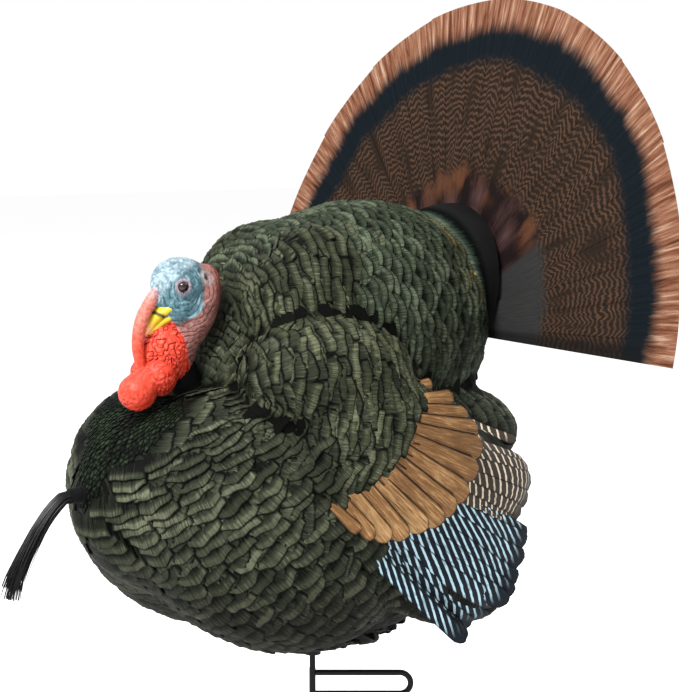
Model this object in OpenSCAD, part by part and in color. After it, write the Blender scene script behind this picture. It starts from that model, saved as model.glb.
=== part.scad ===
// Strutting gobbler decoy on a ground stake.
// Frame: the bird faces -Y, its left side is +X, +Z is up.
// The origin is on the stake's axis at ground level, under the foot step.

/* [Body] */
// Width of the body across the wings
body_w = 380; // [366:1:394]
// Length of the body from breast to tail coverts
body_l = 484; // [470:1:498]
// Height of the body from belly to back
body_h = 458; // [450:1:466]
// Wall of the moulded body
shell_wall = 3; // [2.5:0.5:4]

/* [Stake] */
// Diameter of the steel rod
rod_d = 6.35; // [6:0.05:6.6]
// Length of the spike that goes into the ground
spike_l = 180; // [120:5:240]
// Reach of the foot step from the rod's axis
step_reach = 108; // [80:1:130]
// Distance between the centres of the step's two legs
step_gap = 23; // [18:0.5:26]
// Direction in which the foot step points, from +X towards +Y
step_turn = 55; // [0:5:355]

/* [Head] */
// Wall of the moulded head
head_wall = 3; // [2:0.5:4]
// Forward lean of the neck's axis
neck_lean = 20.5; // [19:0.5:22]

/* [Fan] */
// Radius of the open fan
fan_r = 362; // [330:1:370]
// Backward lean of the fan
fan_lean = 11.5; // [10:0.5:13]
// Angle between neighbouring ribs when the fan is open
rib_step = 18.2; // [16:0.1:18.2]

/* [Hidden] */
$fn = 48;

// Plastic and steel colours
feather = "#2b2f26";
black = "#151515";
steel = "#202224";
flesh = "#c8452e";
cloth = "#5a4236";

// ---- Body form: ellipsoid lobes seen from one point on the stake's axis ----
body_scale = [body_w / 380, body_l / 484, body_h / 458];
body_eye = [0, 0, 299];
body_soft = 6;
mouth_angle = 174;
body_rows = 38;
body_cols = 54;
// Rear face of the back, in front of the fan: a point and its normal
rear_point = [0, 145, 437];
rear_normal = [0, 0.98, 0.199];
// Each lobe: centre, radii, pitch, yaw, on both sides, cut by the rear face
body_lobes = [
    [[0, -10, 294], [145, 140, 180], 0, 0, false, true],      // core
    [[66, -106, 216], [111, 155, 120], -35, -18, true, false], // breast
    [[0, -159, 238], [92, 113, 97], 0, 0, false, false],      // breast shield
    [[0, -30, 397], [106, 77, 104], 0, 0, false, true],       // neck base
    [[52, -34, 403], [56, 74, 98], 0, 0, true, true],         // mantle
    [[0, 58, 403], [122, 156, 120], 0, 0, false, true],       // back
    [[106, -56, 359], [62, 88, 60], 0, -8, true, false],      // shoulder
    [[128, -30, 299], [58, 78, 66], -20, -8, true, false],    // lesser coverts
    [[130, -10, 271], [58, 104, 92], -30, -8, true, false],   // greater coverts
    [[132, 66, 249], [44, 104, 58], -8, -6, true, false],     // secondaries
    [[138, 44, 193], [44, 120, 76], -38, -4, true, false],    // primaries
    [[0, 106, 285], [128, 90, 68], 0, 0, false, false],       // rump
    [[52, 112, 283], [84, 100, 50], 0, 0, true, false],       // tail coverts
    [[0, 7, 169], [136, 141, 104], 0, 0, false, false]        // belly
];

// ---- Stake ----
rod_r = rod_d / 2;
run_gap = 0.075;
sleeve_r = rod_r + 0.35;
sleeve_h = rod_d + step_gap + 2;
collar_z = 47;
washer_z = 55;
washer_h = 2.5;
belly_z = washer_z + washer_h;
tube_top = 339;
rod_top = 333;
tube_r = 6.5;
tube_bore_r = 4.5;
plate_r = 38;
plate_h = 13;
plate_z = belly_z + 2;
screw_ring = 31;

// ---- Collar between the body and the fan ----
rim_z = 425;
rim_r = 96;
rim_wall = 3;
rim_low = 375;
rim_gap = 5;
rim_seat = 6;

// ---- Neck and head ----
neck_at = [0, -150, 344];
neck_dir = [0, -sin(neck_lean), cos(neck_lean)];
stem_r = 11;
stem_l = 46;
pivot_r = 7;
head_eye = neck_at + 52 * neck_dir;
head_soft = 3;
head_rows = 22;
head_cols = 32;
head_mouth = 162;
// Lobes of the head, as for the body
head_lobes = [
    [[0, -156, 449], [26, 34, 28], -20, 0, false, false],      // crown
    [[0, -174, 442], [16, 16, 22], -20, 0, false, false],      // forehead
    [[0, -162, 429], [24, 26, 28], 0, 0, false, false],        // face
    [[0, -144, 424], [29, 22, 48], -24, 0, false, false],      // nape
    [[0, -174, 385], [26, 29, 32], -14, 0, false, false],      // throat
    [[11, -190, 361], [17, 18, 19], 0, 0, true, false],        // wattles
    [[8, -213, 347], [20, 19, 18], 0, 0, false, false],        // front caruncle
    [[0, -184, 413], [8, 10, 17], -38, 0, false, false],       // beak
    [[3, -206, 409], [7, 7, 34], 0, 0, false, false]           // snood
];
eye_at = [21.5, -168, 450];
eye_r = 5.5;

// ---- Beard ----
beard_at = [0, -270, 250];
beard_plug_l = 26;
// Droop of the bristles, from the ferrule to the frayed tip
beard_path = [
    [0, -285.6, 250], [0, -290, 250], [0, -297, 245], [0, -307, 235.5], [0, -318, 222],
    [0, -329, 205], [0, -338, 190], [0, -346, 174], [0, -351, 157]
];
beard_radii = [6.5, 6.8, 7.5, 8, 8.5, 9, 9, 8.5, 6];

// ---- Fan ----
// Ribs on each side of the centre rib
side_ribs = 5;
hub_at = [0, 170, 389];
pin_r = 3;
level = 1.4;
rib_t = 0.8;
gore_t = 0.35;
rib_w = 7;
rib_r = fan_r - 8;
stack_h = (2 * side_ribs + 1) * level;
front_plate = -4;
plate_t = 2;
bracket_r = 13;
bracket_w = 14;
post_r = 6;
post_y = 7;
post_top = -14;
post_end = -84;
socket_top = -21;
arc_steps = 6;

// ---- Functions ----
function dir(polar, turn) = [sin(polar) * cos(turn), sin(polar) * sin(turn), cos(polar)];
function total(v) = v * [for (x = v) 1];
function times(a, b) = [for (i = [0:2]) a[i] * b[i]];
// Both copies of a lobe that lies on both sides
function both_sides(lobes) = [
    for (l = lobes, side = l[4] ? [1, -1] : [1])
        [[side * l[0][0], l[0][1], l[0][2]], l[1], l[2], side * l[3], l[5]]
];
// Matrix that turns a direction into a lobe's unit sphere
function lobe_matrix(r, pitch, yaw) = [
    [cos(yaw), sin(yaw), 0] / r[0],
    [-sin(yaw) * cos(pitch), cos(yaw) * cos(pitch), sin(pitch)] / r[1],
    [sin(yaw) * sin(pitch), -cos(yaw) * sin(pitch), cos(pitch)] / r[2]
];
function lobe_terms(lobes, k, eye) = [
    for (l = both_sides(lobes))
        let (m = lobe_matrix(times(l[1], k), l[2], l[3]))
            [m, m * (eye - times(l[0], k)), l[4]]
];
// Distance along d at which a ray from the eye leaves a lobe
function leave(d, t) =
    let (v = t[0] * d, a = v * v, b = v * t[1], q = b * b - a * (t[1] * t[1] - 1))
        q > 0 ? (-b + sqrt(q)) / a : 0;
function leave_plane(d, eye, point, normal) =
    let (s = d * normal) s > 0.001 ? ((point - eye) * normal) / s : 1000;
// Smooth largest of the distances to all lobes
function star_reach(d, terms, soft, eye) =
    let (
        plane = leave_plane(d, eye, rear_point, rear_normal),
        rs = [for (t = terms) t[2] ? min(plane, leave(d, t)) : leave(d, t)],
        top = max(rs)
    ) top + soft * ln(total([for (r = rs) exp((r - top) / soft)]));

// Frames: along the neck's axis, and in the plane of the fan
module on_neck() translate(neck_at) rotate([neck_lean, 0, 0]) children();
// In the fan's frame X is to the bird's left, Y is up the fan, Z points forwards
module on_fan() translate(hub_at) rotate([90 - fan_lean, 0, 0]) children();
function neck_frame(d) = [
    d[0],
    d[1] * cos(neck_lean) - d[2] * sin(neck_lean),
    d[1] * sin(neck_lean) + d[2] * cos(neck_lean)
];

// A hollow moulding with one mouth: outer skin from the mouth to the pole, and the same skin inside
module hollow_star(eye, terms, soft, rows, cols, mouth, wall, tilted) {
    dirs = [
        for (i = [0:rows - 1], j = [0:cols - 1])
            let (d = dir(mouth * (1 - i / rows), 360 * (j + 0.5) / cols))
                tilted ? neck_frame(d) : d
    ];
    pole = tilted ? neck_frame([0, 0, 1]) : [0, 0, 1];
    outer = [for (d = dirs) star_reach(d, terms, soft, eye)];
    outer_pole = star_reach(pole, terms, soft, eye);
    n = rows * cols;
    points = concat(
        [for (k = [0:n - 1]) eye + outer[k] * dirs[k]],
        [for (k = [0:n - 1]) eye + (outer[k] - wall) * dirs[k]],
        [eye + outer_pole * pole, eye + (outer_pole - wall) * pole]
    );
    faces = concat(
        [for (i = [0:rows - 2], j = [0:cols - 1])
            let (a = i * cols + j, b = i * cols + (j + 1) % cols)
                each [[a, a + cols, b], [b, a + cols, b + cols]]],
        [for (j = [0:cols - 1]) [n - cols + j, 2 * n, n - cols + (j + 1) % cols]],
        [for (i = [0:rows - 2], j = [0:cols - 1])
            let (a = n + i * cols + j, b = n + i * cols + (j + 1) % cols)
                each [[a, b, a + cols], [b, b + cols, a + cols]]],
        [for (j = [0:cols - 1]) [2 * n - cols + (j + 1) % cols, 2 * n + 1, 2 * n - cols + j]],
        [for (j = [0:cols - 1])
            let (b = (j + 1) % cols)
                each [[j, b, n + j], [b, n + b, n + j]]]
    );
    polyhedron(points, faces, convexity = 8);
}

// ---- Stake ----
module stake_rod() color(steel) {
    translate([0, 0, -spike_l + 18]) cylinder(r = rod_r, h = spike_l - 18);
    translate([0, 0, -spike_l]) cylinder(r1 = 0.6, r2 = rod_r, h = 18);
    cylinder(r = sleeve_r, h = sleeve_h);
    translate([0, 0, sleeve_h]) cylinder(r = rod_r, h = rod_top - sleeve_h - 1.5);
    translate([0, 0, rod_top - 1.5]) cylinder(r1 = rod_r, r2 = rod_r - 1.2, h = 1.5);
}

module step_loop() color(steel)
    rotate([0, 0, step_turn]) {
        leg = step_reach - step_gap / 2 - rod_r;
        for (z = [rod_r, rod_r + step_gap])
            translate([sleeve_r - 0.3, 0, z]) rotate([0, 90, 0])
                cylinder(r = rod_r, h = leg - sleeve_r + 0.3);
        translate([leg, 0, rod_r + step_gap / 2]) rotate([90, 0, 0]) rotate([0, 0, -90])
            rotate_extrude(angle = 180) translate([step_gap / 2, 0]) circle(r = rod_r);
    }

module stop_collar() color(steel)
    translate([0, 0, collar_z]) difference() {
        cylinder(r = 9, h = washer_z - collar_z);
        translate([0, 0, -1]) cylinder(r = rod_r, h = 20);
    }

module thrust_washer() color("ivory")
    translate([0, 0, washer_z]) difference() {
        cylinder(r = 14, h = washer_h);
        translate([0, 0, -1]) cylinder(r = rod_r + run_gap, h = 10);
    }

// ---- Body ----
module body_shell() color(feather)
    difference() {
        hollow_star(
            body_eye, lobe_terms(body_lobes, body_scale, body_eye), body_soft,
            body_rows, body_cols, mouth_angle, shell_wall * 1.35, false
        );
        on_neck() translate([0, 0, -60]) cylinder(r = 14, h = 80, $fn = 24);
        on_neck() translate([0, 0, 2.8]) cylinder(r = 18, h = 60, $fn = 36);
        on_fan() translate([0, socket_top + 12, -post_y]) rotate([90, 0, 0])
            cylinder(r = 8, h = 90, $fn = 24);
        translate(beard_at + [0, 40, 0]) rotate([90, 0, 0]) cylinder(r = 5.5, h = 60, $fn = 24);
    }

module belly_screw_places()
    for (a = [45:90:315]) rotate([0, 0, a]) translate([screw_ring, 0, 0]) children();

module belly_plate() color(black)
    difference() {
        translate([0, 0, plate_z]) cylinder(r = plate_r, h = plate_h);
        translate([0, 0, plate_z - 1]) cylinder(r = tube_r + 0.02, h = plate_h + 2);
        belly_screw_places() translate([0, 0, plate_z - 1]) cylinder(r = 1.8, h = plate_h + 2);
        belly_screw_places() translate([0, 0, plate_z - 1]) cylinder(r = 3.6, h = 3.2);
    }

module belly_screws() color("silver")
    belly_screw_places() {
        translate([0, 0, plate_z + 0.2]) cylinder(r = 3.4, h = 2);
        translate([0, 0, plate_z + 2.2]) cylinder(r = 1.75, h = 20);
    }

module stake_tube() color("dimgray")
    difference() {
        translate([0, 0, plate_z]) cylinder(r = tube_r, h = tube_top - plate_z);
        translate([0, 0, plate_z - 1]) cylinder(r = tube_bore_r, h = tube_top);
    }

module lower_bushing() color("ivory")
    difference() {
        union() {
            translate([0, 0, belly_z]) cylinder(r = 12, h = plate_z - belly_z);
            translate([0, 0, plate_z]) cylinder(r = tube_bore_r - 0.02, h = 28);
        }
        translate([0, 0, belly_z - 1]) cylinder(r = rod_r + run_gap, h = 60);
    }

module top_bushing() color("ivory")
    difference() {
        union() {
            translate([0, 0, tube_top - 26]) cylinder(r = tube_bore_r - 0.02, h = 27);
            translate([0, 0, tube_top]) cylinder(r = 9, h = 6);
        }
        translate([0, 0, tube_top - 27]) cylinder(r = rod_r + run_gap, h = rod_top + 1 - tube_top + 27);
    }

module neck_socket() color(black)
    on_neck() difference() {
        union() {
            translate([0, 0, -stem_l - 6]) cylinder(r = 15, h = stem_l + 6);
            translate([0, 0, -3]) cylinder(r = 21, h = 6);
        }
        translate([0, 0, -stem_l - 1]) cylinder(r = stem_r + run_gap, h = stem_l + 10);
    }

module fan_socket() color(black)
    on_fan() translate([0, 0, -post_y]) rotate([90, 0, 0]) difference() {
        union() {
            translate([0, 0, -socket_top]) cylinder(r = 9, h = -post_end + socket_top + 6);
            translate([0, 0, -socket_top]) cylinder(r = 13, h = 4);
        }
        translate([0, 0, -socket_top - 1]) cylinder(r = post_r + run_gap, h = -post_end + socket_top + 2);
    }

module beard_socket() color(black)
    translate(beard_at) rotate([90, 0, 0]) difference() {
        union() {
            translate([0, 0, -24]) cylinder(r = 6.5, h = 24);
            cylinder(r = 9, h = 3.5);
        }
        translate([0, 0, -23]) cylinder(r = 4 + run_gap, h = 40);
    }

module rear_collar() color(black)
    difference() {
        translate([0, 130, rim_z]) rotate([-90, 0, 0]) cylinder(r = rim_r, h = 90, $fn = 96);
        translate([0, 129, rim_z]) rotate([-90, 0, 0]) cylinder(r = rim_r - rim_wall, h = 92, $fn = 96);
        // Open towards the fan, and seated a little inside the body's rear face
        on_fan() translate([-150, -150, rim_gap - 200]) cube([300, 400, 200]);
        translate(rear_point - rim_seat * rear_normal) rotate([asin(rear_normal[2]) - 90, 0, 0])
            translate([-150, -150, -100]) cube([300, 300, 100]);
        translate([-150, 100, rim_low - 200]) cube([300, 150, 200]);
    }

// ---- Head ----
module neck_plug() color(black)
    on_neck() {
        translate([0, 0, -stem_l]) cylinder(r = stem_r, h = stem_l + 3);
        translate([0, 0, 3]) cylinder(r = 16, h = 3);
        translate([0, 0, 6]) cylinder(r = pivot_r, h = 28);
    }

module head_insert() color(black)
    on_neck() difference() {
        translate([0, 0, 6.2]) cylinder(r = 15, h = 36);
        translate([0, 0, 5]) cylinder(r = pivot_r + run_gap, h = 30);
    }

module head_skin() color(flesh)
    hollow_star(
        head_eye, lobe_terms(head_lobes, [1, 1, 1], head_eye), head_soft,
        head_rows, head_cols, head_mouth, head_wall * 1.3, true
    );

module eye_ball() color("#2a1a10") sphere(r = eye_r, $fn = 32);
module left_eye() translate(eye_at) eye_ball();
module right_eye() translate([-eye_at[0], eye_at[1], eye_at[2]]) eye_ball();

// ---- Beard ----
module beard_plug() color(black)
    translate(beard_at) rotate([90, 0, 0]) {
        translate([0, 0, -21]) cylinder(r = 4, h = 24.5);
        translate([0, 0, 3.5]) cylinder(r = 7, h = 2);
        translate([0, 0, 5.5]) cylinder(r = 4, h = 8);
    }

module beard_ferrule() color("#1c1c1c")
    translate(beard_at) rotate([90, 0, 0]) translate([0, 0, 5.5]) difference() {
        cylinder(r = 7.5, h = 10);
        translate([0, 0, -1]) cylinder(r = 4.02, h = 9.02);
    }

module beard_bristles() color(black) {
    sides = 10;
    rings = len(beard_path);
    points = [
        for (i = [0:rings - 1])
            let (
                a = beard_path[max(i - 1, 0)],
                b = beard_path[min(i + 1, rings - 1)],
                along = (b - a) / norm(b - a),
                across = cross(along, [1, 0, 0])
            )
            for (j = [0:sides - 1])
                let (turn = 360 * j / sides)
                    beard_path[i] + beard_radii[i] * (cos(turn) * [1, 0, 0] + sin(turn) * across)
    ];
    faces = concat(
        [[for (j = [sides - 1:-1:0]) j]],
        [for (i = [0:rings - 2], j = [0:sides - 1])
            let (a = i * sides + j, b = i * sides + (j + 1) % sides)
                [a, b, b + sides, a + sides]],
        [[for (j = [0:sides - 1]) (rings - 1) * sides + j]]
    );
    polyhedron(points, faces, convexity = 4);
}

// ---- Fan ----
module fan_bracket() color(black)
    on_fan() difference() {
        union() {
            for (z = [-front_plate - plate_t, -stack_h - plate_t + 1.5]) translate([0, 0, z]) {
                cylinder(r = bracket_r, h = plate_t);
                translate([-bracket_w / 2, -17, 0]) cube([bracket_w, 17, plate_t]);
            }
            translate([-bracket_w / 2, -19, -stack_h - plate_t + 1.5])
                cube([bracket_w, 7, stack_h - 1.5 - front_plate + plate_t]);
            translate([0, post_top, -post_y]) rotate([90, 0, 0])
                cylinder(r = post_r, h = post_top - post_end);
        }
        translate([0, 0, -40]) cylinder(r = pin_r, h = 60);
    }

module hub_pin() color("silver")
    on_fan() {
        translate([0, 0, -stack_h - plate_t - 4])
            cylinder(r = pin_r, h = stack_h + plate_t + 4 - front_plate);
        translate([0, 0, -front_plate]) cylinder(r = 6, h = 2);
    }

module hub_nut() color("silver")
    on_fan() translate([0, 0, -stack_h - plate_t + 1.5 - 4]) difference() {
        cylinder(r = 6, h = 4, $fn = 6);
        translate([0, 0, -1]) cylinder(r = pin_r, h = 8);
    }

// Place in the stack, from the front: the left ribs lie in front of the centre rib, the right ones behind
function stack_z(k) = 1.2 - (side_ribs - k) * level;

// Flat rib k: positive on the bird's left, negative on its right, 0 in the centre
module rib(k) color(black)
    on_fan() rotate([0, 0, -k * rib_step]) translate([0, 0, stack_z(k) - rib_t]) linear_extrude(rib_t)
        difference() {
            union() {
                circle(r = rib_w);
                polygon([[-5, 0], [5, 0], [2.5, rib_r], [-2.5, rib_r]]);
            }
            circle(r = pin_r + run_gap);
        }

// Cloth panel that rides on rib k, between it and the next rib towards the centre
module gore(k) color(cloth) {
    inner = 14;
    a0 = k > 0 ? (k - 1) * rib_step : k * rib_step;
    on_fan() translate([0, 0, stack_z(k) + 0.1]) linear_extrude(gore_t)
        polygon(concat(
            [for (i = [0:arc_steps]) let (a = a0 + rib_step * i / arc_steps) fan_r * [sin(a), cos(a)]],
            [for (i = [arc_steps:-1:0]) let (a = a0 + rib_step * i / arc_steps) inner * [sin(a), cos(a)]]
        ));
}
module rib_center() rib(0);

stake_rod();
step_loop();
stop_collar();
thrust_washer();
body_shell();
belly_plate();
belly_screws();
stake_tube();
lower_bushing();
top_bushing();
neck_socket();
fan_socket();
beard_socket();
rear_collar();
neck_plug();
head_insert();
head_skin();
left_eye();
right_eye();
beard_plug();
beard_ferrule();
beard_bristles();
fan_bracket();
hub_pin();
hub_nut();
rib_center();
rib(1);  // rib_l1
rib(2);  // rib_l2
rib(3);  // rib_l3
rib(4);  // rib_l4
rib(5);  // rib_l5
rib(-1);  // rib_r1
rib(-2);  // rib_r2
rib(-3);  // rib_r3
rib(-4);  // rib_r4
rib(-5);  // rib_r5
gore(1);  // gore_l1
gore(2);  // gore_l2
gore(3);  // gore_l3
gore(4);  // gore_l4
gore(5);  // gore_l5
gore(-1);  // gore_r1
gore(-2);  // gore_r2
gore(-3);  // gore_r3
gore(-4);  // gore_r4
gore(-5);  // gore_r5
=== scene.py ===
import math

import bpy
import numpy as np
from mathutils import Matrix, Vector


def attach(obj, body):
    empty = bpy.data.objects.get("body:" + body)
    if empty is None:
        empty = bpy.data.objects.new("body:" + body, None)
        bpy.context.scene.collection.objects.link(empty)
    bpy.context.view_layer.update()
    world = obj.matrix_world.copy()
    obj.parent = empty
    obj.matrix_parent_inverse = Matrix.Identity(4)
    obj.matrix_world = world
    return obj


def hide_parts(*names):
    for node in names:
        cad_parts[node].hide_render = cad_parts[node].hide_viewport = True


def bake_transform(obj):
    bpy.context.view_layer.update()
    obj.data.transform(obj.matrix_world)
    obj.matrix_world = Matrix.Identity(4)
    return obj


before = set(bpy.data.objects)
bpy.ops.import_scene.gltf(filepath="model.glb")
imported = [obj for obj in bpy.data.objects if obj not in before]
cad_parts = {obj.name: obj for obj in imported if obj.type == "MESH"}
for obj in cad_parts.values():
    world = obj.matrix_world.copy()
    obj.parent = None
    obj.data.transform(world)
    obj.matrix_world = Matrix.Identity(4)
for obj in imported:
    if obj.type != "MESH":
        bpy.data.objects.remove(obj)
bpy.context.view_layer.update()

# A strutting gobbler decoy. The bird faces -Y, its left side is +X and +Z is up.
# Forms are worked out in millimetres, in the frame's own axes; make_piece turns them into metres.
MM = 0.001


# ---- Camera ----
def make_camera():
    """Looks at the bird from its left front, 2.1 m from a point inside the body."""
    azimuth, elevation, distance = math.radians(55), math.radians(7), 2.1
    aim = Vector((0, 0, 0.309))
    back = Vector((
        math.sin(azimuth) * math.cos(elevation),
        -math.cos(azimuth) * math.cos(elevation),
        math.sin(elevation),
    ))
    right = Vector((math.cos(azimuth), math.sin(azimuth), 0))
    up = back.cross(right)
    data = bpy.data.cameras.new("camera")
    data.lens = 104.05
    camera = bpy.data.objects.new("camera", data)
    bpy.context.scene.collection.objects.link(camera)
    camera.location = aim + distance * back + 0.0289 * right + 0.0676 * up
    camera.rotation_mode = "QUATERNION"
    camera.rotation_quaternion = (-back).to_track_quat("-Z", "Y")
    bpy.context.scene.camera = camera


# ---- Numbers and noise ----
def unit(v):
    return v / np.maximum(np.linalg.norm(v, axis=-1, keepdims=True), 1e-9)


def smooth(low, high, x):
    t = np.clip((x - low) / (high - low), 0, 1)
    return t * t * (3 - 2 * t)


def hashed(cell, seed):
    x, y, z = (np.mod(cell[..., i], 1024) for i in range(3))
    h = np.sin(x * 12.9898 + y * 78.233 + z * 37.719 + seed * 4.137) * 43758.5453
    return h - np.floor(h)


def soft_noise(p, seed=0):
    """Smooth noise from -1 to 1, with features one unit across."""
    cell = np.floor(p)
    f = p - cell
    f = f * f * (3 - 2 * f)
    total = 0
    for dx in (0, 1):
        for dy in (0, 1):
            for dz in (0, 1):
                corner = hashed(cell + np.array([dx, dy, dz]), seed)
                wx, wy, wz = (
                    f[..., i] if d else 1 - f[..., i] for i, d in enumerate((dx, dy, dz))
                )
                total = total + corner * wx * wy * wz
    return total * 2 - 1


def cell_distance(p, seed=0):
    """Distances to the nearest and the second nearest of one random point per unit cell."""
    cell = np.floor(p)
    near = np.full(p.shape[:-1], 9.0)
    second = near.copy()
    for dx in (-1, 0, 1):
        for dy in (-1, 0, 1):
            for dz in (-1, 0, 1):
                c = cell + np.array([dx, dy, dz])
                at = c + np.stack([hashed(c, seed + k) for k in (1, 2, 3)], -1)
                d = np.linalg.norm(at - p, axis=-1)
                second = np.minimum(second, np.maximum(near, d))
                near = np.minimum(near, d)
    return near, second


# ---- Form made of ellipsoid lobes, seen from one point inside it ----
# Each lobe: centre, radii, pitch, yaw, on both sides, cut by the rear face
BODY_LOBES = {
    "core": ((0, -10, 294), (145, 140, 180), 0, 0, False, True),
    "breast": ((66, -106, 216), (111, 155, 120), -35, -18, True, False),
    "shield": ((0, -159, 238), (92, 113, 97), 0, 0, False, False),
    "neck": ((0, -30, 397), (106, 77, 104), 0, 0, False, True),
    "mantle": ((52, -34, 403), (56, 74, 98), 0, 0, True, True),
    "back": ((0, 58, 403), (122, 156, 120), 0, 0, False, True),
    "shoulder": ((106, -56, 359), (62, 88, 60), 0, -8, True, False),
    "lesser": ((128, -30, 299), (58, 78, 66), -20, -8, True, False),
    "greater": ((130, -10, 271), (58, 104, 92), -30, -8, True, False),
    "secondaries": ((132, 66, 249), (44, 104, 58), -8, -6, True, False),
    "primaries": ((138, 44, 193), (44, 120, 76), -38, -4, True, False),
    "rump": ((0, 106, 285), (128, 90, 68), 0, 0, False, False),
    "tail": ((52, 112, 283), (84, 100, 50), 0, 0, True, False),
    "belly": ((0, 7, 169), (136, 141, 104), 0, 0, False, False),
}
HEAD_LOBES = {
    "crown": ((0, -156, 449), (26, 34, 28), -20, 0, False, False),
    "forehead": ((0, -174, 442), (16, 16, 22), -20, 0, False, False),
    "face": ((0, -162, 429), (24, 26, 28), 0, 0, False, False),
    "nape": ((0, -144, 424), (29, 22, 48), -24, 0, False, False),
    "throat": ((0, -174, 385), (26, 29, 32), -14, 0, False, False),
    "wattles": ((11, -190, 361), (17, 18, 19), 0, 0, True, False),
    "ball": ((8, -213, 347), (20, 19, 18), 0, 0, False, False),
}
EYE_AT, EAR_AT = (21.5, -168, 450), (23, -140, 459)
REAR_POINT = np.array([0, 145, 437.0])
REAR_NORMAL = np.array([0, 0.98, 0.199])


def lobe_matrix(radii, pitch, yaw):
    """Turns a direction into the lobe's unit sphere."""
    p, y = math.radians(pitch), math.radians(yaw)
    axes = np.array([
        [math.cos(y), math.sin(y), 0],
        [-math.sin(y) * math.cos(p), math.cos(y) * math.cos(p), math.sin(p)],
        [math.sin(y) * math.sin(p), -math.cos(y) * math.sin(p), math.cos(p)],
    ])
    return axes / np.array(radii, float)[:, None]


class Star:
    """A form whose surface is seen once along each direction from its eye."""

    def __init__(self, eye, lobes, softness):
        self.eye, self.softness = np.array(eye, float), softness
        self.lobes = []
        for name, (centre, radii, pitch, yaw, both, cut) in lobes.items():
            for side in (1, -1) if both else (1,):
                at = np.array(centre, float) * (side, 1, 1)
                self.lobes.append((name, side, at, lobe_matrix(radii, pitch, side * yaw), cut))

    def distances(self, d):
        """How far each lobe reaches along the directions d."""
        rear = d @ REAR_NORMAL
        plane = np.where(rear > 0.001, (REAR_POINT - self.eye) @ REAR_NORMAL / np.maximum(rear, 0.001), 1e4)
        found = []
        for _, _, at, m, cut in self.lobes:
            o = m @ (self.eye - at)
            v = d @ m.T
            a, b = (v * v).sum(-1), v @ o
            q = b * b - a * (o @ o - 1)
            r = np.where(q > 0, (-b + np.sqrt(np.maximum(q, 0))) / a, 0)
            found.append(np.minimum(plane, r) if cut else r)
        return np.array(found)

    def reach(self, d):
        r = self.distances(d)
        top = r.max(0)
        return top + self.softness * np.log(np.exp((r - top) / self.softness).sum(0))

    def on(self, p):
        """Direction of p from the eye, and the surface point there."""
        d = unit(p - self.eye)
        return d, self.eye + d * self.reach(d)[..., None]

    def normal(self, p, gap=4.0):
        """Outward normal over a patch about gap across."""
        d = unit(p - self.eye)
        side = unit(np.cross(d, np.where(np.abs(d[..., 2:]) < 0.9, [0, 0, 1.0], [0, 1.0, 0])))
        up = np.cross(side, d)
        around = [self.on(p + gap * k)[1] for k in (side, -side, up, -up)]
        n = unit(np.cross(around[2] - around[3], around[0] - around[1]))
        return n * np.sign((n * d).sum(-1, keepdims=True))

    def find_creases(self, gap=12.0):
        """Works out, on a grid of directions, where neighbouring lobes meet in a crease."""
        polar, turn = np.meshgrid(np.linspace(0, np.pi, 181), np.linspace(-np.pi, np.pi, 361), indexing="ij")
        d = np.stack([np.sin(polar) * np.cos(turn), np.sin(polar) * np.sin(turn), np.cos(polar)], -1)
        p = self.eye + d * self.reach(d)[..., None]
        n = self.normal(p, 4.0)
        side = unit(np.cross(n, [0.3, 0.2, 1.0]))
        up = np.cross(n, side)
        rise = sum(((self.on(p + gap * k)[1] - p) * n).sum(-1) for k in (side, -side, up, -up))
        self.creases = smooth(1.5, 11.0, rise)

    def crease(self, p):
        """0 on the bulges of the form, up to 1 in the creases between them."""
        d = unit(p - self.eye)
        row = np.arccos(np.clip(d[..., 2], -1, 1)) / np.pi * 180
        col = (np.arctan2(d[..., 1], d[..., 0]) + np.pi) / np.pi * 180
        i, j = np.clip(row.astype(int), 0, 179), np.clip(col.astype(int), 0, 359)
        a, b, c = row - i, col - j, self.creases
        first, second = ((1 - b) * c[k, j] + b * c[k, j + 1] for k in (i, i + 1))
        return (1 - a) * first + a * second


BODY = Star((0, 0, 299), BODY_LOBES, 6.0)
BODY.find_creases()
NECK_LEAN = math.radians(20.5)
HEAD = Star((0, -150 - 52 * math.sin(NECK_LEAN), 344 + 52 * math.cos(NECK_LEAN)), HEAD_LOBES, 3.0)


# ---- Mesh making ----
def make_piece(name, points, faces, body, slot, material, **attributes):
    """Mesh piece from points in millimetres and a list of index arrays, one array per face size."""
    mesh = bpy.data.meshes.new(name)
    mesh.vertices.add(len(points))
    mesh.vertices.foreach_set("co", (np.asarray(points, float) * MM).astype(np.float32).ravel())
    loops = np.concatenate([f.ravel() for f in faces])
    sizes = np.concatenate([np.full(len(f), f.shape[1]) for f in faces])
    mesh.loops.add(len(loops))
    mesh.loops.foreach_set("vertex_index", loops.astype(np.int32))
    mesh.polygons.add(len(sizes))
    mesh.polygons.foreach_set("loop_start", (np.cumsum(sizes) - sizes).astype(np.int32))
    mesh.polygons.foreach_set("use_smooth", np.ones(len(sizes), bool))
    mesh.update(calc_edges=True)
    mesh.validate()
    for key, values in attributes.items():
        values = np.asarray(values, np.float32)
        kind = "FLOAT" if values.ndim == 1 else "FLOAT_VECTOR"
        field = "value" if values.ndim == 1 else "vector"
        mesh.attributes.new(key, kind, "POINT").data.foreach_set(field, values.ravel())
    mesh.set_sharp_from_angle(angle=math.radians(52))
    piece = bpy.data.objects.new(name, mesh)
    bpy.context.scene.collection.objects.link(piece)
    mesh.materials.append(material)
    if body:
        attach(piece, body)
    return piece


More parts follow.
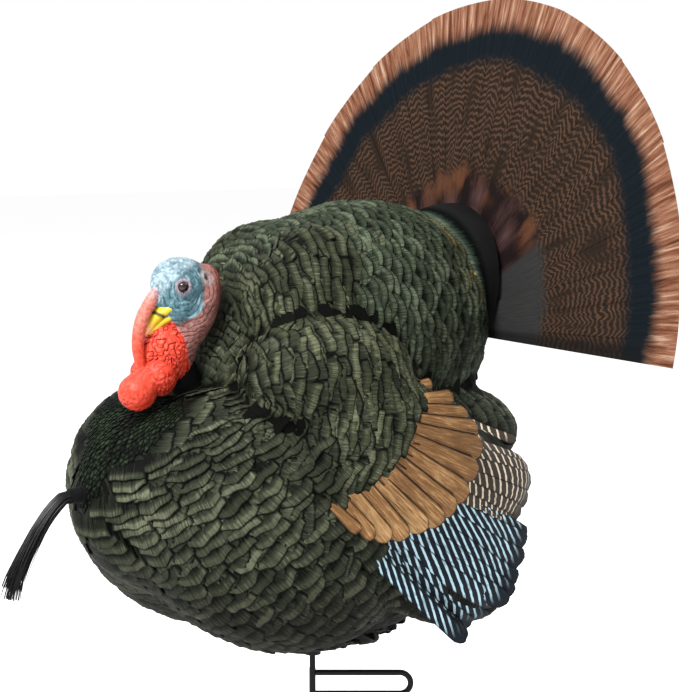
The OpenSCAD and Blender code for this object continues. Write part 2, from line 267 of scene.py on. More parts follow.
def cube_sphere(n):
    """Directions and quads of a cube blown up to a sphere, n by n on each of its six faces."""
    t = np.tan(np.linspace(-1, 1, n + 1) * math.pi / 4)
    a, b = np.meshgrid(t, t, indexing="ij")
    one = np.ones_like(a)
    walls = [(one, a, b), (-one, b, a), (b, one, a), (a, -one, b), (a, b, one), (b, a, -one)]
    points = np.concatenate([np.stack(w, -1).reshape(-1, 3) for w in walls])
    i, j = (k.ravel() for k in np.meshgrid(np.arange(n), np.arange(n), indexing="ij"))
    quad = np.stack([i * (n + 1) + j, (i + 1) * (n + 1) + j, (i + 1) * (n + 1) + j + 1,
                     i * (n + 1) + j + 1], -1)
    quads = np.concatenate([quad + k * (n + 1) ** 2 for k in range(6)])
    keys = np.round(points * 1e5).astype(np.int64)
    _, first, back = np.unique(keys, axis=0, return_index=True, return_inverse=True)
    return unit(points[first]), back.ravel()[quads]


def swept_tube(path, radii, sides=16, flatten=1.0):
    """Closed tube along a path; flatten widens or narrows its sections across X, all alike or one by one."""
    path, radii = np.asarray(path, float), np.asarray(radii, float)
    along = unit(np.gradient(path, axis=0))
    across = unit(np.cross(along, [1.0, 0, 0]))
    other = np.cross(along, across)
    turn = np.linspace(0, 2 * np.pi, sides, endpoint=False)
    rings = path[:, None] + radii[:, None, None] * (
        np.cos(turn)[None, :, None] * across[:, None]
        + np.reshape(flatten, (-1, 1, 1)) * np.sin(turn)[None, :, None] * other[:, None]
    )
    n = len(path)
    i, j = (k.ravel() for k in np.meshgrid(np.arange(n - 1), np.arange(sides), indexing="ij"))
    k = (j + 1) % sides
    quads = np.stack([i * sides + j, i * sides + k, (i + 1) * sides + k, (i + 1) * sides + j], -1)
    caps = np.stack([np.arange(sides)[::-1], np.arange(sides) + (n - 1) * sides])
    return rings.reshape(-1, 3), quads, caps


def curve_through(points, count):
    """Catmull-Rom curve through points, with count samples at even steps."""
    p = np.asarray(points, float)
    p = np.vstack([2 * p[0] - p[1], p, 2 * p[-1] - p[-2]])
    t = np.linspace(0, len(p) - 3 - 1e-6, 400)
    i = np.floor(t).astype(int)
    f = (t - i)[:, None]
    a, b, c, d = (p[i + k] for k in range(4))
    fine = 0.5 * (2 * b + (c - a) * f + (2 * a - 5 * b + 4 * c - d) * f**2 + (3 * b - a - 3 * c + d) * f**3)
    along = np.concatenate([[0], np.cumsum(np.linalg.norm(np.diff(fine, axis=0), axis=1))])
    at = np.linspace(0, along[-1], count)
    return np.stack([np.interp(at, along, fine[:, k]) for k in range(p.shape[1])], -1)


# ---- Materials ----
def new_material(name, roughness=0.5, specular=0.5, metallic=0.0):
    material = bpy.data.materials.new(name)
    material.use_nodes = True
    shader = material.node_tree.nodes["Principled BSDF"]
    shader.inputs["Roughness"].default_value = roughness
    shader.inputs["Specular IOR Level"].default_value = specular
    shader.inputs["Metallic"].default_value = metallic
    return material, Graph(material.node_tree, shader)


class Graph:
    """Short forms for the shader nodes that the materials share."""

    def __init__(self, tree, shader):
        self.nodes, self.links, self.shader = tree.nodes, tree.links, shader

    def feed(self, socket, value):
        """Joins a value to one of the shader's inputs."""
        self.links.new(value, self.shader.inputs[socket])

    def put(self, socket, value):
        if isinstance(value, bpy.types.NodeSocket):
            self.links.new(value, socket)
        else:
            socket.default_value = value

    def math(self, kind, a, b=0.0, c=0.0, clamp=False):
        node = self.nodes.new("ShaderNodeMath")
        node.operation, node.use_clamp = kind, clamp
        for socket, value in zip(node.inputs, (a, b, c)):
            self.put(socket, value)
        return node.outputs[0]

    def plus(self, a, b):
        return self.math("ADD", a, b)

    def minus(self, a, b):
        return self.math("SUBTRACT", a, b)

    def times(self, a, b):
        return self.math("MULTIPLY", a, b)

    def attribute(self, name):
        node = self.nodes.new("ShaderNodeAttribute")
        node.attribute_name = name
        return node

    def split(self, vector):
        node = self.nodes.new("ShaderNodeSeparateXYZ")
        self.links.new(vector, node.inputs[0])
        return node.outputs

    def join(self, x, y, z=0.0):
        node = self.nodes.new("ShaderNodeCombineXYZ")
        for socket, value in zip(node.inputs, (x, y, z)):
            self.put(socket, value)
        return node.outputs[0]

    def noise(self, vector, scale, detail=3.0, distortion=0.0, roughness=0.5):
        node = self.nodes.new("ShaderNodeTexNoise")
        self.links.new(vector, node.inputs["Vector"])
        node.inputs["Scale"].default_value = scale
        node.inputs["Detail"].default_value = detail
        node.inputs["Distortion"].default_value = distortion
        node.inputs["Roughness"].default_value = roughness
        return node.outputs["Fac"]

    def cells(self, vector, scale):
        node = self.nodes.new("ShaderNodeTexVoronoi")
        self.links.new(vector, node.inputs["Vector"])
        node.inputs["Scale"].default_value = scale
        return node.outputs["Distance"]

    def ramp(self, value, stops):
        node = self.nodes.new("ShaderNodeValToRGB")
        elements = node.color_ramp.elements
        while len(elements) < len(stops):
            elements.new(0.5)
        for element, (place, colour) in zip(elements, stops):
            element.position = place
            element.color = (*colour, 1.0)
        self.links.new(value, node.inputs[0])
        return node.outputs[0]

    def mix(self, share, a, b, kind="MIX"):
        node = self.nodes.new("ShaderNodeMix")
        node.data_type, node.blend_type = "RGBA", kind
        self.put(node.inputs["Factor"], share)
        for socket, value in zip((node.inputs["A"], node.inputs["B"]), (a, b)):
            self.put(socket, value if isinstance(value, bpy.types.NodeSocket) else (*value, 1.0))
        return node.outputs["Result"]

    def step(self, low, high, value):
        node = self.nodes.new("ShaderNodeMapRange")
        node.interpolation_type = "SMOOTHSTEP"
        self.put(node.inputs["Value"], value)
        node.inputs["From Min"].default_value = low
        node.inputs["From Max"].default_value = high
        return node.outputs["Result"]

    def place(self):
        return self.nodes.new("ShaderNodeTexCoord").outputs["Object"]

    def bump(self, height, distance, strength=1.0, below=None):
        node = self.nodes.new("ShaderNodeBump")
        self.links.new(height, node.inputs["Height"])
        node.inputs["Distance"].default_value = distance
        node.inputs["Strength"].default_value = strength
        if below is not None:
            self.links.new(below, node.inputs["Normal"])
        return node.outputs["Normal"]


def plumage_material(name, dark, middle, light, roughness=0.6, gloss=0.04):
    """Moulded feathers: barbs run along each one, edges and roots get painted shade, raised parts are
    dry-brushed.
    """
    material, g = new_material(name, roughness, gloss)
    leaf = g.attribute("leaf").outputs["Vector"]
    along, across, tone = g.split(leaf)
    rim = g.attribute("rim").outputs["Fac"]
    paint = g.attribute("paint").outputs["Vector"]
    streaks = g.noise(g.join(g.times(along, 0.05), g.times(across, 0.62),
                             g.times(tone, 90.0)), 1.0, 4.0, 0.6, 0.62)
    patches = g.noise(g.place(), 26.0, 4.0, 0.3)
    level = g.plus(g.times(streaks, 0.75), g.times(patches, 0.42))
    level = g.plus(level, g.times(g.minus(tone, 0.5), 0.16))
    # Painted shade: rim darkens the edges and roots of the feathers, in the crevices between the rows.
    level = g.math("SUBTRACT", level, g.times(rim, 0.55), clamp=True)
    colour = g.ramp(level, [(0.18, dark), (0.55, middle), (0.86, light)])
    g.feed("Base Color", g.mix(1.0, colour, paint, "MULTIPLY"))
    g.feed("Roughness", g.plus(g.times(streaks, -0.22), roughness + 0.14))
    fine = g.bump(streaks, 0.0016, 0.85)
    g.feed("Normal", g.bump(g.noise(g.place(), 420.0, 2.0), 0.0005, 0.4, fine))
    return material


def barred_material(name, ground, bar, spacing, width, slant, far):
    """Wing quills painted with pale bars that cross each feather at a slant."""
    material, g = new_material(name, 0.48, 0.06)
    leaf = g.attribute("leaf").outputs["Vector"]
    along, across, tone = g.split(leaf)
    rim = g.attribute("rim").outputs["Fac"]
    wobble = g.noise(leaf, 0.11, 2.0)
    phase = g.plus(along, g.times(across, slant))
    phase = g.plus(phase, g.times(wobble, 3.4))
    phase = g.plus(phase, g.times(tone, 31.0))
    cycle = g.math("ABSOLUTE", g.minus(g.math("FRACT", g.math("DIVIDE", phase, spacing)), 0.5))
    stripe = g.minus(1.0, g.step(width * 0.72, width * 1.18, cycle))
    edge = g.minus(1.0, g.step(far - 0.16, far, g.attribute("reach").outputs["Fac"]))
    worn = g.step(0.34, 0.5, g.noise(g.place(), 130.0, 4.0))
    stripe = g.times(g.times(stripe, edge), g.plus(g.times(worn, 0.4), 0.6))
    shade = g.noise(g.join(g.times(along, 0.06), g.times(across, 0.8), tone), 1.0, 3.0)
    base = g.mix(shade, ground, tuple(c * 1.7 for c in ground))
    colour = g.mix(stripe, base, g.mix(shade, bar, tuple(min(1, c * 1.2) for c in bar)))
    # Painted shade along the edges of each quill, where the neighbouring quill overlaps it.
    edge_shade = g.minus(1.0, g.times(g.step(0.35, 1.0, rim), 0.93))
    g.feed("Base Color", g.mix(1.0, colour, g.join(edge_shade, edge_shade, edge_shade), "MULTIPLY"))
    g.feed("Normal", g.bump(shade, 0.0008, 0.6))
    return material


def plain_material(name, colour, roughness=0.5, metallic=0.0, grain=300.0, depth=0.0003, vary=0.35,
                   specular=0.25):
    """Moulded plastic, nylon, steel or paint with a fine grain and small changes of colour."""
    material, g = new_material(name, roughness, specular, metallic)
    place = g.place()
    broad = g.noise(place, 24.0, 4.0)
    fine = g.noise(place, grain, 3.0)
    lighter = tuple(min(1.0, c * (1 + vary) + 0.004) for c in colour)
    darker = tuple(c * (1 - vary) for c in colour)
    g.feed("Base Color", g.mix(g.plus(g.times(broad, 0.6), g.times(fine, 0.4)), darker, lighter))
    g.feed("Roughness", g.plus(g.times(broad, 0.24), roughness - 0.12))
    g.feed("Normal", g.bump(fine, depth, 0.5))
    return material


def flesh_material():
    """Painted head: the colours are in the mesh, the brush work is here."""
    material, g = new_material("head_paint", 0.5, 0.3)
    paint = g.attribute("paint").outputs["Vector"]
    brush = g.noise(g.place(), 330.0, 5.0, 0.6)
    deeper = g.mix(1.0, paint, (0.62, 0.55, 0.58), "MULTIPLY")
    g.feed("Base Color", g.mix(g.step(0.35, 0.65, brush), deeper, paint))
    g.feed("Normal", g.bump(brush, 0.0005, 0.5))
    return material


def fan_material():
    """Printed tail cloth: pale copper tips, a black band, brown bars and soft mauve coverts near the hub."""
    material, g = new_material("fan_print", 0.95, 0.0)
    reach, angle, _ = g.split(g.attribute("polar").outputs["Vector"])

    def grain(radial, turning, detail=3.0, distortion=0.0, roughness=0.5):
        """Noise drawn out along the feathers of the print."""
        place = g.join(g.times(reach, radial), g.times(angle, turning))
        return g.noise(place, 1.0, detail, distortion, roughness)

    slow = grain(3.0, 0.07, 2.0)
    ragged = g.math("MULTIPLY_ADD", g.minus(grain(7.0, 0.55, 5.0, 0.2, 0.65), 0.5), 0.05, reach)
    ragged = g.math("MULTIPLY_ADD", g.minus(slow, 0.5), 0.07, ragged)
    ragged = g.math("MULTIPLY_ADD", g.minus(grain(30.0, 2.6, 3.0), 0.5), 0.03, ragged)
    # Dark field with fine wavy bars that bend at each feather's shaft
    feather = g.math("ABSOLUTE", g.minus(g.math("FRACT", g.math("DIVIDE", angle, 7.3)), 0.5))
    phase = g.math("MULTIPLY_ADD", grain(7.0, 0.42, 3.0, 0.5), 3.6, g.times(reach, 48.0))
    phase = g.math("MULTIPLY_ADD", feather, 1.5, phase)
    bars = g.math("MULTIPLY_ADD", g.math("SINE", g.times(phase, 6.2832)), 0.5, 0.5)
    shafts = grain(1.4, 1.6, 4.0)
    ground = g.mix(shafts, (0.0075, 0.0056, 0.0046), (0.022, 0.0150, 0.0110))
    bright = g.mix(grain(9.0, 0.8, 4.0), (0.022, 0.013, 0.0090), (0.074, 0.040, 0.025))
    barred = g.times(g.step(0.50, 0.82, bars), g.step(0.30, 0.52, grain(5.0, 0.22, 4.0)))
    field = g.mix(barred, ground, bright)
    parting = g.minus(1.0, g.times(g.step(0.44, 0.5, feather), 0.35))
    field = g.mix(1.0, field, g.join(parting, parting, parting), "MULTIPLY")
    # Mauve coverts in rounded tufts with rusty tips, and a plain grey patch at both ends of the fan
    tufts = g.cells(g.join(g.times(reach, 8.5), g.times(angle, 0.085)), 1.0)
    soft = grain(16.0, 1.1, 5.0, 0.4, 0.6)
    tuft = g.ramp(g.math("MULTIPLY_ADD", g.minus(soft, 0.5), 0.9, tufts), [
        (0.05, (0.050, 0.029, 0.028)), (0.30, (0.030, 0.016, 0.015)), (0.62, (0.009, 0.006, 0.006))])
    rust = g.times(g.step(0.36, 0.46, ragged), g.step(0.45, 0.62, grain(6.0, 0.10, 3.0)))
    tuft = g.mix(rust, tuft, g.mix(soft, (0.034, 0.015, 0.009), (0.095, 0.040, 0.020)))
    grey = g.mix(soft, (0.013, 0.013, 0.0135), (0.031, 0.030, 0.029))
    inner = g.mix(g.step(53.0, 57.0, g.math("ABSOLUTE", angle)), tuft, grey)
    limit = g.math("MULTIPLY_ADD", g.minus(slow, 0.5), -0.16, ragged)
    body = g.mix(g.step(0.44, 0.50, limit), inner, field)
    body = g.mix(g.step(0.12, 0.26, ragged), (0.004, 0.004, 0.0045), body)
    # Black band, then the pale tips with radial streaks
    banded = g.mix(g.step(0.775, 0.83, ragged), body, g.mix(shafts, (0.0028, 0.0042, 0.0055),
                                                            (0.0075, 0.0105, 0.0130)))
    streak = grain(5.0, 1.15, 5.0, 0.35, 0.66)
    tips = g.ramp(streak, [(0.30, (0.032, 0.013, 0.008)), (0.43, (0.105, 0.040, 0.022)),
                           (0.54, (0.170, 0.080, 0.048)),
                           (0.70, (0.330, 0.225, 0.160))])
    colour = g.mix(g.step(0.885, 0.945, ragged), banded, tips)
    hem = g.times(g.step(86.5, 90.5, g.math("ABSOLUTE", angle)), g.minus(1.0, g.step(0.84, 0.9, reach)))
    colour = g.mix(g.times(hem, 0.75), colour, (0.006, 0.006, 0.006))
    g.feed("Base Color", colour)
    across, _, up = g.split(g.place())
    weave = g.plus(g.math("SINE", g.times(across, 5200.0)), g.math("SINE", g.times(up, 5200.0)))
    g.feed("Normal", g.bump(weave, 0.00012, 0.35, g.bump(shafts, 0.0012, 0.5)))
    return material


# ---- Feathers ----
class Seeds:
    """Roots of feathers: places, directions from root to tip, lengths, widths and paint."""

    def __init__(self, root, flow, length, width, paint=None):
        self.root, self.flow = np.asarray(root, float), np.asarray(flow, float)
        self.length, self.width = np.asarray(length, float), np.asarray(width, float)
        self.paint = np.ones((len(self.root), 3)) if paint is None else np.asarray(paint, float)

    def keep(self, mask):
        return Seeds(self.root[mask], self.flow[mask], self.length[mask], self.width[mask], self.paint[mask])


def feather_rows(flow, step, width, owners, lobe=None, shape=None, length=2.1, start=4, stop=176, seed=1,
                 jitter=0.1, rooted=5.0, overlap=1.3):
    """Feather roots in staggered rows across the flow, kept where one of the owner lobes is on top.

    The rows are circles of latitude on a lobe, or on a shape given as its centre and radii."""
    rng = np.random.default_rng(seed)
    if shape:
        centre, out = np.array(shape[0], float), np.diag(np.array(shape[1], float))
    else:
        _, _, centre, matrix, _ = next(item for item in BODY.lobes if item[0] == lobe and item[1] == 1)
        out = np.linalg.inv(matrix)
    pole = -unit(out.T @ np.array(flow, float))
    one = unit(np.cross(pole, [0.3, 0.2, 1.0]))
    two = np.cross(pole, one)
    ring = np.linspace(0, 2 * np.pi, 721)
    steps, widths = (np.atleast_1d(x).astype(float) for x in (step, width))
    theta, odd = math.radians(start), 0
    parts = []
    while theta < math.radians(stop):
        share = (math.degrees(theta) - start) / (stop - start)
        here = np.interp(share, np.linspace(0, 1, len(steps)), steps)
        wide = np.interp(share, np.linspace(0, 1, len(widths)), widths)
        circle = np.cos(ring)[:, None] * one + np.sin(ring)[:, None] * two
        points = centre + (math.cos(theta) * pole + math.sin(theta) * circle) @ out.T
        downs = (-math.sin(theta) * pole + math.cos(theta) * circle) @ out.T
        along = np.concatenate([[0], np.cumsum(np.linalg.norm(np.diff(points, axis=0), axis=1))])
        count = max(3, int(round(along[-1] / wide)))
        at = (np.arange(count) + 0.5 * odd + rng.uniform(-jitter, jitter, count)) % count / count * along[-1]
        root = np.stack([np.interp(at, along, points[:, k]) for k in range(3)], -1)
        run = unit(np.stack([np.interp(at, along, downs[:, k]) for k in range(3)], -1))
        long = here * length * rng.uniform(0.94, 1.06, count)
        root = root + run * (rng.uniform(-jitter, jitter, count) * long * 0.3)[:, None]
        parts.append((root, run, long, along[-1] / count * overlap * rng.uniform(0.94, 1.08, count)))
        theta += here / np.linalg.norm(downs, axis=1).mean()
        odd = 1 - odd
    seeds = Seeds(*(np.concatenate(group) for group in zip(*parts)))
    r = BODY.distances(unit(seeds.root - BODY.eye))
    mine = [k for k, item in enumerate(BODY.lobes) if item[0] in owners]
    return seeds.keep(r[mine].max(0) > r.max(0) - rooted)


def inside(outline, y, z):
    """Whether the places (y, z) lie inside a closed outline."""
    outline = np.asarray(outline, float)
    ahead = np.roll(outline, -1, axis=0)
    hit = np.zeros(np.shape(y), bool)
    for (ya, za), (yb, zb) in zip(outline, ahead):
        crosses = (za > z) != (zb > z)
        hit ^= crosses & (y < (yb - ya) * (z - za) / (zb - za + 1e-9) + ya)
    return hit


def clear_of_wing(seeds, share=0.8):
    """Leaves out feathers whose tips would lie on the painted wing quills."""
    tip = BODY.on(seeds.root + seeds.flow * seeds.length[:, None] * share)[1]
    return seeds.keep(~(inside(WING, tip[:, 1], tip[:, 2]) & (np.abs(tip[:, 0]) > 90)))


def lay_feathers(name, seeds, material, rows=(0, 0.3, 0.55, 0.76, 0.92, 1.0), cols=9, lift=3.0, crown=0.6,
                 tip=0.15, wave=1.4, barb=0.25, narrow=0.85, drop=9.0, lean=0.5, mirrored=False, point=2.4,
                 border=2.0, thick=1.5, root_shade=0.62, shade=0.55):
    """Closed scales laid on the body: each rises from its root to a crisp lip at its tip.

    root_shade paints shade on the roots, under the lip of the feather above, and shade paints shade into the
    creases and onto the underside of the body."""
    rng = np.random.default_rng(5)
    n, nu = len(seeds.root), len(rows)
    u, v = np.meshgrid(rows, np.linspace(-1, 1, cols), indexing="ij")
    root_normal = BODY.normal(seeds.root, 8.0)
    flow = unit(seeds.flow - (seeds.flow * root_normal).sum(-1, keepdims=True) * root_normal)
    turn = rng.normal(0, 0.04, n)[:, None]
    across = np.cross(root_normal, flow)
    flow, across = np.cos(turn) * flow + np.sin(turn) * across, np.cos(turn) * across - np.sin(turn) * flow
    phase = rng.uniform(0, 2 * np.pi, (n, 3))[..., None, None]
    wobble = wave * (np.sin(2.6 * v + phase[:, 0]) + 0.55 * np.sin(6.3 * v + phase[:, 1]))
    end = seeds.length[:, None, None] * (1 - tip * np.abs(v) ** point) + wobble
    a = u * end
    b = seeds.width[:, None, None] * 0.5 * v * (narrow + (1 - narrow) * u)
    b = b + 0.5 * wave * np.sin(5 * u + phase[:, 2]) * np.abs(v)
    flat = seeds.root[:, None, None] + a[..., None] * flow[:, None, None]
    flat = flat + b[..., None] * across[:, None, None]
    d, skin = BODY.on(flat)
    move = np.clip(((skin - flat) * d).sum(-1), -drop, 14.0)
    base = flat + move[..., None] * d
    local = unit(BODY.normal(base, 7.0) + 0.6 * root_normal[:, None, None])
    ridges = barb * np.where(np.arange(cols) % 2, 1.0, -1.0) * np.minimum(1, u * 2)
    ridges = ridges * rng.uniform(0.4, 1.6, (n, 1, cols))
    high = lift * rng.uniform(0.75, 1.25, (n, 1, 1)) * u**1.15 + crown * (1 - v * v) * np.sqrt(u)
    high = high + lean * v * u + ridges - 0.35 * lift * (u > 0.999) - 0.3
    top = base + high[..., None] * local
    gap = ((BODY.on(base)[1] - base) * d).sum(-1)
    sole = base + np.clip(gap - 1.5, -thick, -1.5)[..., None] * d
    order = [(0, j) for j in range(cols)] + [(i, cols - 1) for i in range(1, nu)]
    order += [(nu - 1, j) for j in range(cols - 2, -1, -1)] + [(i, 0) for i in range(nu - 2, 0, -1)]
    edge = np.array([i * cols + j for i, j in order])
    m, per = len(edge), nu * cols + len(edge)
    points = np.concatenate([top.reshape(n, -1, 3), sole.reshape(n, -1, 3)[:, edge]], 1)
    i, j = (k.ravel() for k in np.meshgrid(np.arange(nu - 1), np.arange(cols - 1), indexing="ij"))
    quads = np.stack([i * cols + j, (i + 1) * cols + j, (i + 1) * cols + j + 1, i * cols + j + 1], -1)
    k = np.arange(m)
    skirt = np.stack([edge[k], edge[(k + 1) % m], nu * cols + (k + 1) % m, nu * cols + k], -1)
    bottom = (nu * cols + np.arange(m))[None, ::-1]
    shift = (np.arange(n) * per)[:, None, None]
    faces = [np.concatenate([quads[None] + shift, skirt[None] + shift], 1).reshape(-1, 4),
             (bottom[None] + shift).reshape(-1, m)]
    tone = rng.uniform(0, 1, (n, 1, 1)) + np.zeros_like(a)
    leaf = np.stack([a, b + np.zeros_like(a), tone], -1).reshape(n, -1, 3)
    # The rim value is painted shade: dark along each edge, on the skirt, and on the root where the feather
    # above overlaps it.
    side = np.minimum(1, (1 - np.abs(v)) * seeds.width[:, None, None] / 2 / border)
    front = np.minimum(1, (end - a) / border)
    hidden = np.clip((0.70 - u) * 6.0, 0, 1) * root_shade
    rim = np.clip(np.maximum(1 - np.minimum(side, front), hidden), 0, 1).reshape(n, -1)
    leaf = np.concatenate([leaf, leaf[:, edge]], 1).reshape(-1, 3)
    rim = np.concatenate([rim, np.full((n, m), 1.6)], 1).ravel()
    reach = np.concatenate([(u + np.zeros_like(a)).reshape(n, -1), np.ones((n, m))], 1).ravel()
    points = points.reshape(-1, 3)
    # Painted shade: the paint darkens on faces that turn downwards, towards the belly, and in the creases of
    # the form.
    under = 1 - shade * smooth(0.35, -0.45, root_normal @ unit(np.array([0, -0.35, 0.94])))
    under = under * (1 - shade * smooth(190, 100, seeds.root[:, 2]))
    paint = np.repeat(seeds.paint * under[:, None], per, axis=0) * (1 - shade * BODY.crease(points))[:, None]
    for side_name, sign in (("left", 1), ("right", -1)) if mirrored else (("", 1),):
        make_piece(
            f"{name}_{side_name}".rstrip("_"), points * (sign, 1, 1), [f[:, ::sign] for f in faces],
            "body", "body_skin", material, leaf=leaf, rim=rim, reach=reach, paint=paint,
        )


def side_points(places, at_least=0.0):
    """Surface points of the left side at places (y, z), as seen along X, and never nearer than at_least."""
    places = np.asarray(places, float)
    xs = np.linspace(230, 0, 140)
    grid = np.stack([
        np.broadcast_to(xs, (len(places), 140)), *(np.repeat(places[:, k:k + 1], 140, 1) for k in (0, 1))
    ], -1)
    d = unit(grid - BODY.eye)
    within = np.linalg.norm(grid - BODY.eye, axis=-1) < BODY.reach(d)
    first = np.where(within.any(1), within.argmax(1), 139)
    return np.column_stack([np.maximum(xs[first], at_least), places])


def quills(root_curve, tip_curve, count, overlap, raised=0.0, tips_at_least=0.0):
    """Long wing feathers in one overlapping row, from a curve of roots to a curve of tips, both as (y, z)."""
    roots, tips = curve_through(root_curve, count), curve_through(tip_curve, count)
    a, b = side_points(roots) + (raised, 0, 0), side_points(tips, tips_at_least) + (raised, 0, 0)
    run = unit(tips - roots)
    normal = np.stack([-run[:, 1], run[:, 0]], -1)
    gap = np.abs((np.gradient(tips, axis=0) * normal).sum(-1))
    return Seeds(a, unit(b - a), np.linalg.norm(b - a, axis=1), np.maximum(gap * overlap, 9.0))


# ---- Body pieces ----
def body_form(material):
    """The moulded body under the feathers."""
    directions, quads = cube_sphere(112)
    radius = BODY.reach(directions)
    points = BODY.eye + directions * radius[:, None]
    rough = 0.5 * soft_noise(points / 5.0, 3) + 0.35 * soft_noise(points / 2.6, 4)
    crease = BODY.crease(points)
    points = points + directions * (rough - 0.6 - 5.0 * crease)[:, None]
    # The rim value darkens the whole form and the paint darkens its creases more: painted shade, seen in the
    # gaps between the feathers.
    piece = make_piece(
        "body_form", points, [quads], "body", "body_skin", material,
        leaf=np.stack([points[:, 2], points[:, 1], 0 * radius + 0.5], -1), rim=0.6 + 0 * radius,
        paint=np.ones((len(points), 3)) * (1 - 0.5 * crease)[:, None],
    )
    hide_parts("body_shell")
    return piece


def paint_of(seeds, tint, spread=0.18, seed=1):
    """Paint with one tint for a group, and small differences between feathers."""
    rng = np.random.default_rng(seed)
    return np.array(tint) * (1 + rng.uniform(-spread, spread, (len(seeds.root), 1)))


def all_over(material):
    """Base coat of feathers in rows across the body, seen wherever no group lies over it."""
    rows = feather_rows((0, 0.96, -0.12), 13, 30, tuple(BODY_LOBES), shape=((0, -30, 289), (205, 260, 240)),
                        start=8, stop=172, seed=21, rooted=99.0)
    root = BODY.on(rows.root)[1]
    low = smooth(159, 99, root[:, 2])
    stake = np.hypot(root[:, 0], root[:, 1]) > 50
    shield_area = (root[:, 1] > -150) | (np.abs(root[:, 0]) > 60)
    rows.root = root
    # Painted shade: the paint darkens towards the belly.
    rows.paint = paint_of(rows, (0.74, 0.76, 0.70), 0.25, 3) * (1 - 0.45 * low[:, None])
    rows = clear_of_wing(rows.keep((stake | (root[:, 2] > 129)) & shield_area & (root[:, 0] >= -2)), 0.5)
    lay_feathers("base_feathers", rows, material, rows=(0, 0.35, 0.65, 0.88, 1.0), cols=9, lift=2.6,
                 crown=0.4, tip=0.2, mirrored=True)


def on_shield(p):
    """Whether points lie on the smooth front of the breast, under the throat and above the scaled sides."""
    across = np.interp(p[:, 2], [236, 244, 267, 288, 307, 320, 341], [6, 20, 24, 45, 70, 82, 84])
    return (p[:, 1] < -150) & (np.abs(p[:, 0]) < across) & (p[:, 2] > 236)


def breast(material):
    rows = feather_rows((0.42, 0.56, -0.71), (9, 10, 12, 14, 17, 19), (38, 44, 42, 36, 32, 28),
                        ("breast", "shield"),
                        shape=((52, -96, 259), (140, 190, 200)), start=8, stop=165, seed=11, jitter=0.1,
                        overlap=1.08, rooted=12.0)
    root = BODY.on(rows.root)[1]
    rows.root = root
    rows = clear_of_wing(rows.keep((root[:, 0] > 3) & ~on_shield(root)), 0.9)
    light = smooth(0.0, 0.8, soft_noise(rows.root / 55.0, 3))
    rows.paint = paint_of(rows, (1.0, 1.0, 0.92)) * (0.85 + 0.45 * light)[:, None]
    lay_feathers("breast_feathers", rows, material, cols=15, lift=3.4, crown=1.1, tip=0.2, wave=1.7,
                 border=1.5, mirrored=True)


def shield(material):
    rows = feather_rows((0, -0.35, -0.95), 5.0, 6.0, ("shield", "breast"), lobe="shield", length=2.0,
                        start=6, stop=168,
                        seed=12, jitter=0.4)
    rows.root = BODY.on(rows.root)[1]
    rows = rows.keep(on_shield(rows.root + rows.flow * 5))
    rows.paint = paint_of(rows, (0.62, 0.95, 0.66), 0.35)
    lay_feathers("shield_feathers", rows, material, rows=(0, 0.6, 1.0), cols=4, lift=0.9, crown=0.4, tip=0.4,
                 wave=0.4, barb=0.1, drop=4, border=1.0)


def belly(material):
    """Feathers that hang round the stake and hide the plate under the belly."""
    turn = np.radians(np.concatenate([np.arange(0, 360, 24.0) + 12 * k for k in range(3)]))
    out = np.repeat([47.0, 60.0, 74.0], 15)
    across = np.stack([np.cos(turn), np.sin(turn), 0 * turn], -1)
    root = BODY.on(BODY.eye + unit(across * out[:, None] + (0, 0, -218.0)) * 200)[1]
    tufts = Seeds(root, np.tile([0.1, 0.95, -0.3], (45, 1)), np.full(45, 30.0), np.full(45, 26.0))
    tufts.paint = paint_of(tufts, (0.5, 0.52, 0.46), 0.3, 5)
    lay_feathers("belly_feathers", tufts, material, cols=9, lift=9.0, crown=1.5, tip=0.4, wave=1.6, shade=0.4)


def neck(material):
    rows = feather_rows((0, 0.96, -0.24), (10, 11.5, 12.5), (36, 42, 42), ("neck", "mantle"),
                        shape=((0, -50, 395), (115, 150, 125)), start=8, stop=150, seed=13, rooted=16.0)
    rows.root = BODY.on(rows.root)[1]
    rows.paint = paint_of(rows, (1.0, 1.0, 0.86))
    lay_feathers("neck_feathers", rows, material, cols=15, lift=3.6, crown=0.8, tip=0.14, wave=1.7)


def back(material):
    rows = feather_rows((0, 0.99, 0.02), 8.5, (24, 27, 26), ("back",), lobe="back", length=2.5, start=20,
                        stop=120, seed=14, overlap=1.6, rooted=13.0)
    rows.root = BODY.on(rows.root)[1]
    gold = smooth(100, 116, rows.root[:, 1]) * smooth(404, 434, rows.root[:, 2])
    base = paint_of(rows, (0.84, 0.96, 0.88))
    streak = smooth(0.0, 0.5, soft_noise(rows.root / 14.0, 9))[:, None] * gold[:, None]
    rows.paint = base * (1 - streak) + streak * np.array([3.6, 2.3, 1.2])
    lay_feathers("back_feathers", rows, material, cols=11, lift=4.0, crown=2.0, tip=0.5, wave=0.6,
                 border=1.6, point=1.8)


def shoulders(material):
    rows = feather_rows((0.1, 0.97, -0.22), 12, (34, 42, 40), ("shoulder",), lobe="shoulder", start=8,
                        stop=172, seed=15, jitter=0.08, overlap=1.15, rooted=13.0)
    rows.root = BODY.on(rows.root)[1]
    rows.paint = paint_of(rows, (1.0, 1.0, 0.84))
    lay_feathers("shoulder_feathers", rows, material, cols=13, lift=3.0, crown=0.8, tip=0.1, wave=1.5,
                 mirrored=True)


def lesser_coverts(material):
    rows = feather_rows((0.1, 0.94, -0.3), 11, (28, 36, 34), ("lesser", "greater"), lobe="lesser", start=8,
                        stop=172, seed=16, jitter=0.08, rooted=12.0, overlap=1.12)
    rows = clear_of_wing(rows, 0.85)
    rows.paint = paint_of(rows, (1.12, 1.12, 0.96))
    lay_feathers("lesser_coverts", rows, material, cols=11, lift=3.0, crown=0.8, tip=0.1, wave=1.4,
                 mirrored=True)


